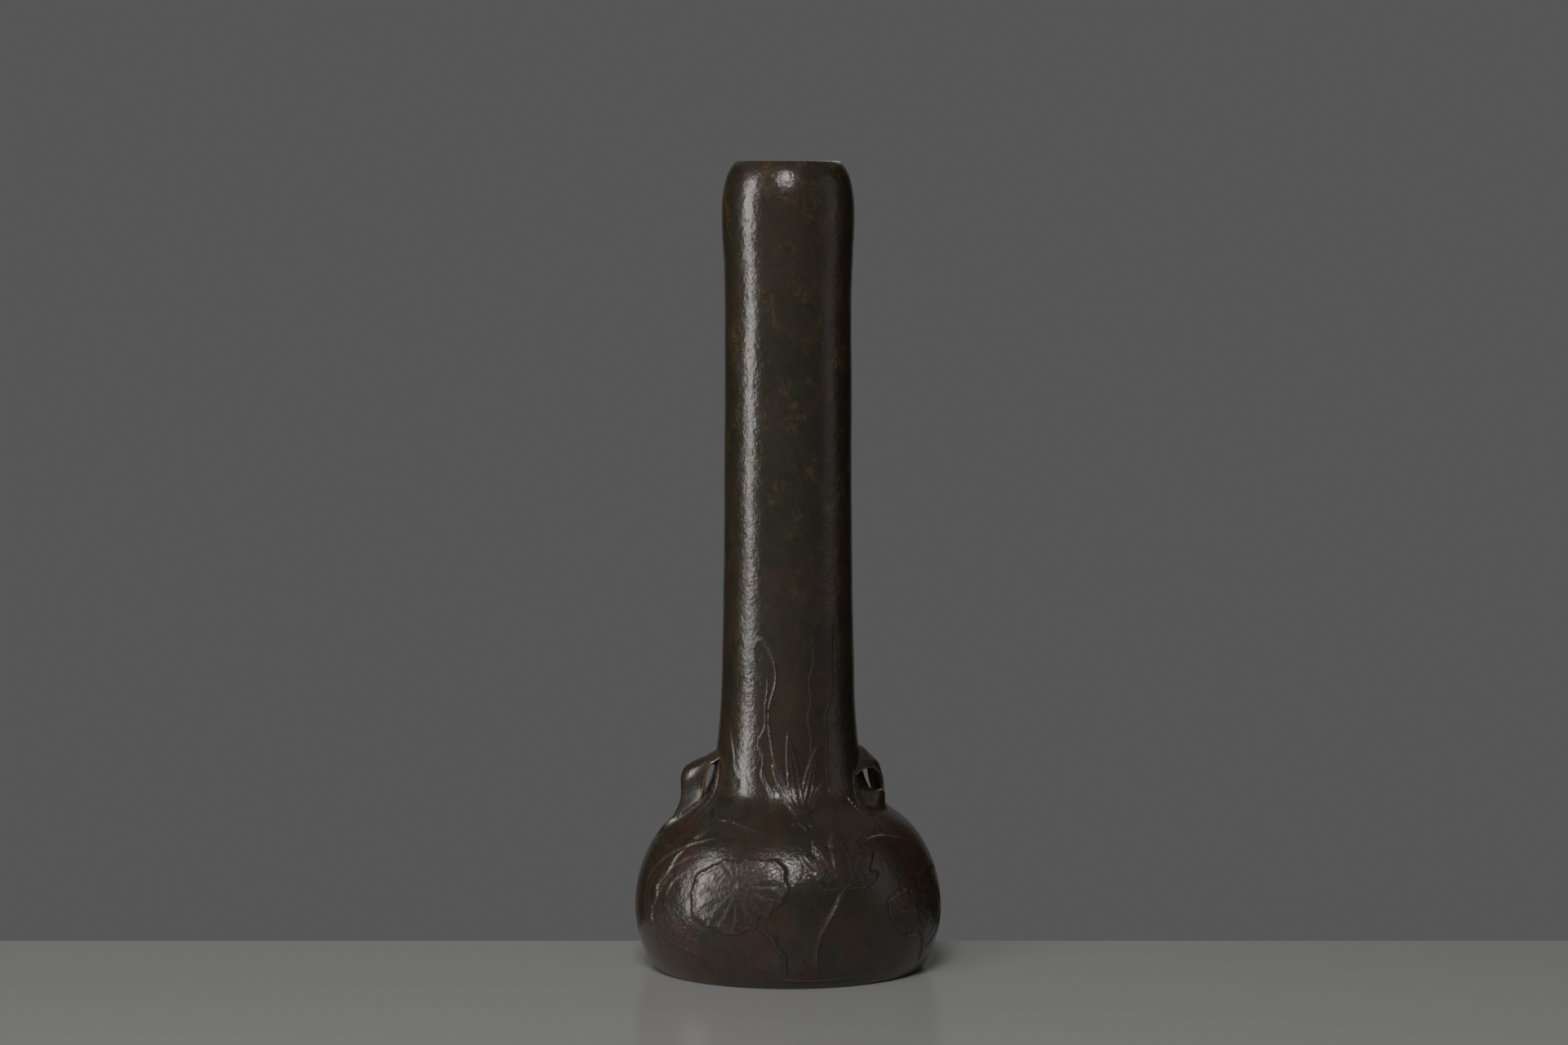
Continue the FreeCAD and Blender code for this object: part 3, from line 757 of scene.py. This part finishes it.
@dataclass
class Casting:
    """A turned casting of the vase, whose outer skin carries the relief."""

    name: str
    outside: Sequence[Places]
    inside: Sequence[Places]
    spacing: float
    inner_spacing: float
    front_angle: float
    front_steps: int
    back_steps: int
    relief: Relief
    slot: str = "patinated_bronze"
    sharp: float = 42.0
    weld: float = 1e-6
    skin_depth: float = 0.15
    foot_fade: tuple[float, float] = (0.4, 5.0)
    mouth_fade: tuple[float, float] = (346.0, 356.0)
    wear: float = 9.0

    def section(self, shape: bmesh.types.BMesh) -> list[bmesh.types.BMEdge]:
        """Draw the closed section of the wall, turned to one side of the front.

        Args:
            shape: The mesh that it is drawn in.

        Returns:
            The edges of the section.
        """
        points = run_of(self.outside, self.spacing)
        points += run_of(self.inside, self.inner_spacing)[1:-1]
        turn = Matrix.Rotation(math.radians(-90.0 - self.front_angle / 2), 4, "Z")
        corners = [shape.verts.new(turn @ point) for point in points]
        return [shape.edges.new(pair) for pair in zip(corners, corners[1:] + corners[:1])]

    def turned(self) -> bmesh.types.BMesh:
        """Spin the section, closely at the front and widely at the back.

        Returns:
            The closed wall.
        """
        shape = bmesh.new()
        edges = self.section(shape)
        front = math.radians(self.front_angle)
        up = (0.0, 0.0, 1.0)
        turned = bmesh.ops.spin(shape, geom=edges, axis=up, angle=front, steps=self.front_steps)
        edges = [part for part in turned["geom_last"] if isinstance(part, bmesh.types.BMEdge)]
        bmesh.ops.spin(shape, geom=edges, axis=up, angle=2 * math.pi - front, steps=self.back_steps)
        bmesh.ops.remove_doubles(shape, verts=shape.verts, dist=self.weld)
        bmesh.ops.recalc_face_normals(shape, faces=shape.faces)
        return shape

    def lift_relief(self, shape: bmesh.types.BMesh) -> None:
        """Raise the relief and the slight unevenness of the hand-worked wax on the outer skin.

        Args:
            shape: The wall, whose points are moved.
        """
        shape.verts.ensure_lookup_table()
        ridge = shape.verts.layers.float.new("ridge")
        recess_and_shade = shape.verts.layers.float.new("recess_and_shade")
        points = np.array([vert.co for vert in shape.verts]) / MM
        normals = np.array([vert.normal for vert in shape.verts])
        radius = np.hypot(points[:, 0], points[:, 1])
        height = points[:, 2]
        skin = np.abs(radius - np.interp(height, HEIGHTS, RADII)) < self.skin_depth
        lowest, highest = self.mouth_fade
        fade = soft_step(height, *self.foot_fade) * soft_step(-height, -highest, -lowest)
        lift = self.relief.heights(points) * skin
        angle = np.arctan2(points[:, 1], points[:, 0])
        wave = 0.1 * np.sin(3 * angle + height * 0.045) * np.sin(height * 0.061 + 1.3)
        wave += 0.05 * np.sin(7 * angle - height * 0.11) * np.sin(height * 0.17)
        moved = points + normals * ((lift + wave * skin) * fade)[:, None]
        around = np.zeros(len(points))
        for vert in shape.verts:
            beside = [lift[edge.other_vert(vert).index] for edge in vert.link_edges]
            around[vert.index] = sum(beside) / len(beside)
        # Points lower than their neighbours, in the relief's recesses, are marked to be darkened.
        # Points higher than their neighbours are marked as worn ridges.
        bulge = (lift - around) * self.wear
        for vert, place in zip(shape.verts, moved * MM):
            vert.co = place
            vert[ridge] = float(np.clip(bulge[vert.index], 0.0, 1.0))
            vert[recess_and_shade] = float(np.clip(-bulge[vert.index], 0.0, 1.0))

    def build(self, material: bpy.types.Material) -> bpy.types.Object:
        """Make the casting and dress it.

        Args:
            material: Its finish.

        Returns:
            The piece.
        """
        shape = self.turned()
        shape.normal_update()
        self.lift_relief(shape)
        shape.normal_update()
        return finished(self.name, shape, material, self.slot, self.sharp)


def finished(name: str, shape: bmesh.types.BMesh, material: bpy.types.Material, slot: str,
             crease: float) -> bpy.types.Object:
    """Turn a shape into a piece that rides on the vase.

    Args:
        name: The piece's name.
        shape: Its mesh, which is freed.
        material: Its finish.
        slot: The record's material slot. Not used.
        crease: Degrees from which an edge stays sharp.

    Returns:
        The piece.
    """
    for face in shape.faces:
        face.smooth = True
    for edge in shape.edges:
        edge.smooth = edge.calc_face_angle(0.0) < math.radians(crease)
    mesh = bpy.data.meshes.new(name)
    shape.to_mesh(mesh)
    shape.free()
    mesh.materials.append(material)
    piece = bpy.data.objects.new(name, mesh)
    bpy.context.scene.collection.objects.link(piece)
    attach(piece, "root")
    return piece


# Handles


class Side(Enum):
    """The two sides of the vase, as the turn of each handle about the axis."""

    LEFT = 180.0
    RIGHT = 0.0


@dataclass(frozen=True)
class Cut:
    """Outer line of a leaf in one upright cut: its root, its direction and its places."""

    root_turn: float
    root_radius: float
    direction: float
    poles: Places

    def line(self, count: int) -> np.ndarray:
        """Points of the line in the handle's own frame, in millimetres.

        Args:
            count: Number of points.

        Returns:
            One row for each point.
        """
        path = clamped_spline(np.array(self.poles, dtype=float), count)
        root = math.radians(self.root_turn)
        heading = math.radians(self.direction)
        return np.stack([self.root_radius * math.cos(root) + path[:, 0] * math.cos(heading),
                         self.root_radius * math.sin(root) + path[:, 0] * math.sin(heading),
                         path[:, 1]], axis=1)


@dataclass
class LeafHandle:
    """Small curled leaf cast as a loop between the neck and the shoulder."""

    side: Side
    crest: Places
    hood: Places
    tail: Places = ((-5, 96.3), (1.3, 94.9), (4.7, 93.6), (7.4, 87.9), (8.0, 81.8), (9.9, 76.0),
                    (8.5, 71.0))
    slot: str = "handle_bronze"
    wall: float = 1.5
    rim: float = 0.95
    out: float = 1.5
    fullest: float = 0.46
    full_length: float = 0.15
    dip: float = 0.9
    lowest: float = 0.8
    dip_length: float = 0.13
    roll: float = 0.9
    crease: float = 0.18
    rounding: float = 0.42
    rounding_steps: int = 3
    rounding_angle: float = 50.0
    along: int = 64
    across: int = 30

    def surface(self) -> np.ndarray:
        """Work out the leaf's outer face from its three cuts.

        Returns:
            Its places in millimetres, by row across the leaf and along it.
        """
        cuts = [Cut(20, 32.2, 20, self.tail), Cut(0, 32.2, 20, self.crest),
                Cut(-34, 33.8, 49, self.hood)]
        tail, crest, hood = [cut.line(self.along + 1) for cut in cuts]
        share = np.linspace(0.0, 1.0, self.across + 1)[:, None, None]
        skin = (tail * 2 * (share - 0.5) * (share - 1.0) + crest * 4 * share * (1.0 - share)
                + hood * 2 * share * (share - 0.5))
        outward = np.cross(np.gradient(skin, axis=0), np.gradient(skin, axis=1))
        outward /= np.linalg.norm(outward, axis=2, keepdims=True)
        length = np.linspace(0.0, 1.0, self.along + 1)[None, :, None]
        free = np.sin(math.pi * length) ** 0.6
        full = self.out * np.exp(-((length - self.fullest) / self.full_length) ** 2)
        dip = self.dip * np.exp(-((length - self.lowest) / self.dip_length) ** 2)
        belly = (full - dip) * np.sin(math.pi * share)
        roll = free * (self.roll * np.abs(2 * share - 1) ** 7
                       + self.crease * bump_shape((share - 0.85) / 0.06))
        return skin + outward * (belly - roll)

    def build(self, material: bpy.types.Material) -> bpy.types.Object:
        """Make the leaf and dress it.

        Args:
            material: Its finish.

        Returns:
            The piece.
        """
        shape = bmesh.new()
        bmesh.ops.create_grid(shape, x_segments=self.along, y_segments=self.across, size=0.5)
        ridge = shape.verts.layers.float.new("ridge")
        recess_and_shade = shape.verts.layers.float.new("recess_and_shade")
        thin = shape.verts.layers.deform.verify()
        surface = self.surface() * MM
        edge = self.rim / self.wall
        for vert in shape.verts:
            row = round((vert.co.x + 0.5) * self.along)
            column = round((vert.co.y + 0.5) * self.across)
            vert.co = surface[column][row]
            margin = min(column, self.across - column) / (self.across / 2)
            # Painted shade: the lower half of the leaf, away from its margins, is marked to be
            # darkened, as if it were turned away from the lamps.
            below = max(0.0, row / self.along * 4.0 - 2.2)
            vert[ridge] = max(0.0, 1.0 - margin * 7.0)
            vert[recess_and_shade] = min(0.8, below) * min(1.0, margin * 3.0)
            vert[thin][0] = min(1.0, edge + margin * 2.2 * (1 - edge))
        bmesh.ops.recalc_face_normals(shape, faces=shape.faces)
        shape.faces.ensure_lookup_table()
        outwards = sum(face.normal.dot(face.calc_center_median()) for face in shape.faces)
        if outwards < 0.0:
            bmesh.ops.reverse_faces(shape, faces=shape.faces)
        bmesh.ops.rotate(shape, verts=shape.verts,
                         matrix=Matrix.Rotation(math.radians(self.side.value), 3, "Z"))
        name = f"{self.side.name.lower()}_leaf_handle"
        piece = finished(name, shape, material, self.slot, 180.0)
        piece.vertex_groups.new(name="wall")
        thicken = piece.modifiers.new("wall", "SOLIDIFY")
        thicken.thickness = self.wall * MM
        thicken.offset = -1.0
        thicken.vertex_group = "wall"
        rounding = piece.modifiers.new("rim", "BEVEL")
        rounding.width = self.rounding * MM
        rounding.segments = self.rounding_steps
        rounding.limit_method = "ANGLE"
        rounding.angle_limit = math.radians(self.rounding_angle)
        return piece


# Studio


@dataclass(frozen=True)
class SoftBox:
    """One soft lamp: where it hangs, its width and height, and its power in watts.

    Not every lamp shows in polished surfaces. Few light the table, which mirrors what hangs low.
    """

    name: str
    place: tuple[float, float, float]
    size: tuple[float, float]
    watts: float
    glossy: bool = True
    on_table: bool = False


@dataclass
class Studio:
    """Table, backdrop, lamps and camera."""

    table_colour: tuple[float, float, float] = (0.62, 0.62, 0.612)
    backdrop: tuple[float, float, float] = (0.094, 0.094, 0.094)
    fill: float = 0.05
    table_half: tuple[float, float] = (0.75, 0.7)
    table_roughness: float = 0.2
    table_specular: float = 0.3
    edge_behind: float = 0.062
    aim: tuple[float, float, float] = (0.0, 0.0, 0.18)
    boxes: tuple[SoftBox, ...] = (
        SoftBox("left_box", (-1.335, -0.43, 0.55), (0.38, 1.14), 10.3),
        SoftBox("right_box", (1.47, -0.27, 0.56), (0.56, 1.12), 0.5),
        SoftBox("front_box", (-0.17, -1.6, 1.6), (0.62, 0.46), 14.0, on_table=True),
        SoftBox("soft_front", (-1.1, -1.8, 1.0), (1.0, 1.2), 8.0, glossy=False, on_table=True),
        SoftBox("soft_back", (0.8, 1.7, 1.0), (1.2, 1.2), 12.0, glossy=False),
        SoftBox("back_box", (0.25, 2.1, 1.3), (0.7, 0.9), 3.0),
    )
    flag_side: float = 0.8
    flag_heights: tuple[float, float] = (-0.8, 1.0)
    flag_depths: tuple[float, float] = (0.1, 1.8)
    lens: float = 97.5
    sensor: float = 36.0
    stands: tuple[float, float, float] = (-0.0018, -1.8883, 0.3425)
    looks_down: float = 4.333
    sees_to: float = 50.0
    off_table: bpy.types.Collection | None = None

    def table(self) -> None:
        """Lay a plain table whose far edge lies just behind the vase."""
        shape = bmesh.new()
        bmesh.ops.create_grid(shape, x_segments=1, y_segments=1, size=1.0)
        width, depth = self.table_half
        bmesh.ops.scale(shape, verts=shape.verts, vec=(width, depth, 1.0))
        bmesh.ops.translate(shape, verts=shape.verts, vec=(0.0, self.edge_behind - depth, 0.0))
        mesh = bpy.data.meshes.new("table")
        shape.to_mesh(mesh)
        shape.free()
        finish = Finishing("plain_table")
        finish.shader.inputs["Base Color"].default_value = (*self.table_colour, 1.0)
        finish.shader.inputs["Roughness"].default_value = self.table_roughness
        finish.shader.inputs["Specular IOR Level"].default_value = self.table_specular
        mesh.materials.append(finish.material)
        table = bpy.data.objects.new("table", mesh)
        bpy.context.scene.collection.objects.link(table)
        self.off_table = bpy.data.collections.new("all_but_the_table")
        self.off_table.objects.link(table)
        self.off_table.collection_objects[0].light_linking.link_state = "EXCLUDE"

    def world(self) -> None:
        """Fill the room with dim even light and show the backdrop behind the vase."""
        world = bpy.data.worlds.new("room")
        bpy.context.scene.world = world
        world.use_nodes = True
        tree = Nodes(world.node_tree)
        tree.nodes.clear()
        eye = tree.node("ShaderNodeLightPath", {}, {}, "Is Camera Ray")
        mirrored = tree.node("ShaderNodeLightPath", {}, {}, "Is Glossy Ray")
        seen = tree.node("ShaderNodeMath", {"operation": "MAXIMUM"}, {0: eye, 1: mirrored})
        room = tree.node("ShaderNodeBackground", {}, {"Color": (self.fill,) * 3})
        drop = tree.node("ShaderNodeBackground", {}, {"Color": self.backdrop})
        mix = tree.node("ShaderNodeMixShader", {}, {0: seen, 1: room, 2: drop})
        tree.feed(tree.nodes.new("ShaderNodeOutputWorld").inputs["Surface"], mix)

    def lamp(self, box: SoftBox) -> None:
        """Hang one soft box, which faces the vase.

        Args:
            box: The lamp's sizes and place.
        """
        light = bpy.data.lights.new(box.name, "AREA")
        light.shape = "RECTANGLE"
        light.size, light.size_y = box.size
        light.energy = box.watts
        lamp = bpy.data.objects.new(box.name, light)
        lamp.location = box.place
        facing = Vector(self.aim) - Vector(box.place)
        lamp.rotation_euler = facing.to_track_quat("-Z", "Y").to_euler()
        lamp.visible_glossy = box.glossy
        if not box.on_table:
            lamp.light_linking.receiver_collection = self.off_table
        bpy.context.scene.collection.objects.link(lamp)

    def flag(self, name: str, x: float) -> None:
        """Stand a black card beside the backdrop, for reflections alone.

        Polished bronze mirrors it at its outline, as it does a photographer's flag.

        Args:
            name: The card's name.
            x: How far to the side it stands.
        """
        low, high = self.flag_heights
        near, far = self.flag_depths
        shape = bmesh.new()
        corners = ((x, near, low), (x, far, low), (x, far, high), (x, near, high))
        shape.faces.new([shape.verts.new(corner) for corner in corners])
        mesh = bpy.data.meshes.new(name)
        shape.to_mesh(mesh)
        shape.free()
        finish = Finishing("black_card")
        finish.shader.inputs["Base Color"].default_value = (0.0, 0.0, 0.0, 1.0)
        finish.shader.inputs["Specular IOR Level"].default_value = 0.0
        mesh.materials.append(finish.material)
        card = bpy.data.objects.new(name, mesh)
        card.visible_camera = False
        card.visible_diffuse = False
        card.visible_shadow = False
        bpy.context.scene.collection.objects.link(card)

    def camera(self) -> None:
        """Set the camera where the photograph was taken from."""
        lens = bpy.data.cameras.new("view")
        lens.lens = self.lens
        lens.sensor_width = self.sensor
        lens.clip_end = self.sees_to
        camera = bpy.data.objects.new("view", lens)
        camera.location = self.stands
        camera.rotation_euler = (math.radians(90.0 - self.looks_down), 0.0, 0.0)
        bpy.context.scene.collection.objects.link(camera)
        bpy.context.scene.camera = camera

    def build(self) -> None:
        """Set up the whole studio."""
        self.table()
        self.world()
        for box in self.boxes:
            self.lamp(box)
        self.flag("left_flag", -self.flag_side)
        self.flag("right_flag", self.flag_side)
        self.camera()
        bpy.context.scene.view_settings.view_transform = "Standard"


# Assembly


@dataclass(frozen=True)
class Inside:
    """Inside of each casting, from the top of its outside down to the start of that."""

    belly: Sequence[Places] = (
        ((29.5, 140), (28.0, 140)), ((28.0, 140), (28.0, 128)), ((28.0, 128), (26.6, 128)),
        ((26.6, 128), (26.6, 120), (26.6, 110.5), (29.94, 90.8)),
        ((29.94, 90.8), (33.0, 72.5), (41.3, 73.0), (52.7, 62.0)),
        ((52.7, 62.0), (54.2, 60.6), (65.6, 48.2), (65.6, 27)),
        ((65.6, 27), (65.6, 12), (59, 7), (52, 7)), ((52, 7), (52, 4)),
        ((52, 4), (55.5, 4)), ((55.5, 4), (55.5, 0)), ((55.5, 0), (59, 0)))
    neck: Sequence[Places] = (
        ((22.6, 360), (21.4, 360)), ((21.4, 360), (20.98, 360), (20.8, 359.8), (20.8, 359.3)),
        ((20.8, 359.3), (20.8, 356.5), (26.6, 354), (26.6, 337)),
        ((26.6, 337), (26.6, 322.2), (25.0, 317), (25.3, 284.2)),
        ((25.3, 284.2), (25.6, 244.2), (25.2, 190), (26.6, 140)), ((26.6, 140), (26.6, 128.1)),
        ((26.6, 128.1), (27.9, 128.1)), ((27.9, 128.1), (27.9, 140)), ((27.9, 140), (29.5, 140)))


def dress_nodes(finishes: dict[str, bpy.types.Material]) -> None:
    """Give the carried-over solids their finishes.

    Args:
        finishes: The material of each solid, by its name.
    """
    for name, material in finishes.items():
        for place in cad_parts[name].material_slots:
            place.material = material


def belly_casting(relief: Relief) -> Casting:
    """The lower casting, from the foot to the joint."""
    return Casting("belly_casting", [OUTLINE.foot, OUTLINE.shoulder, OUTLINE.turn, OUTLINE.root],
                   Inside().belly, spacing=0.85, inner_spacing=14.0, front_angle=172.0,
                   front_steps=262, back_steps=168, relief=relief)


def neck_casting(relief: Relief) -> Casting:
    """The upper casting, from the joint to the mouth."""
    return Casting("neck_casting", [OUTLINE.neck, OUTLINE.swelling, OUTLINE.mouth],
                   Inside().neck, spacing=1.0, inner_spacing=8.0, front_angle=172.0,
                   front_steps=170, back_steps=110, relief=relief)


def left_leaf() -> LeafHandle:
    """The leaf whose tail edge looks to the front."""
    return LeafHandle(
        Side.LEFT,
        crest=((-4.8, 99.6), (3.0, 94.8), (9.1, 94.8), (16.1, 86.7), (16.1, 76.0), (18.5, 72.3),
               (25.0, 60.4)),
        hood=((-6.1, 78.0), (-2.5, 86.9), (11.8, 92.2), (21.7, 91.4), (27.9, 83.2), (29.3, 68.7),
              (32.2, 60.0)))


def right_leaf() -> LeafHandle:
    """The leaf whose hood looks to the front."""
    return LeafHandle(
        Side.RIGHT,
        crest=((-5.0, 99.5), (0.2, 99.0), (4.8, 95.7), (7.8, 89.9), (10.5, 84.0), (11.9, 76.4),
               (11.7, 66.0)),
        hood=((-6.0, 78.1), (-2.0, 86.9), (10.3, 91.9), (19.1, 90.7), (24.9, 83.2), (22.6, 76.6),
              (22.3, 66.0)))


def report(piece: bpy.types.Object) -> None:
    """Log a piece and its size."""
    log.info("%s: %d faces", piece.name, len(piece.data.polygons))


def main() -> None:
    """Build the vase and the studio round it."""
    logging.basicConfig(level=logging.INFO, format="%(message)s")
    Studio().build()
    bronze = BronzeFinish("bronze_patina")
    leaf_bronze = BronzeFinish("leaf_bronze_patina", worn=(0.3, 0.16, 0.1), roughness=0.25,
                               bump=0.35, rub=0.95)
    plate_bronze = BronzeFinish("plate_bronze_patina", roughness=0.5, bump=0.5)
    rivet_bronze = WireFinish("hammered_bronze", (0.035, 0.024, 0.016), (0.09, 0.06, 0.038),
                              metallic=0.6, roughness=0.42)
    solder = WireFinish("grey_solder", (0.08, 0.076, 0.07), (0.2, 0.19, 0.175),
                        metallic=0.7, roughness=0.5)
    relief = Relief()
    cast_material = bronze.material()
    piece = belly_casting(relief).build(cast_material)
    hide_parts("belly", "neck_joint_pins")
    report(piece)
    piece = neck_casting(relief).build(cast_material)
    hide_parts("neck")
    report(piece)
    leaf_material = leaf_bronze.material()
    for handle, node in ((left_leaf(), "left_handle"), (right_leaf(), "right_handle")):
        piece = handle.build(leaf_material)
        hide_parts(node)
        report(piece)
    rivet_material = rivet_bronze.material()
    dress_nodes({"base_plate": plate_bronze.material(), "base_solder": solder.material(),
                 "left_handle_rivets": rivet_material, "right_handle_rivets": rivet_material})


if __name__ == "__main__":
    main()
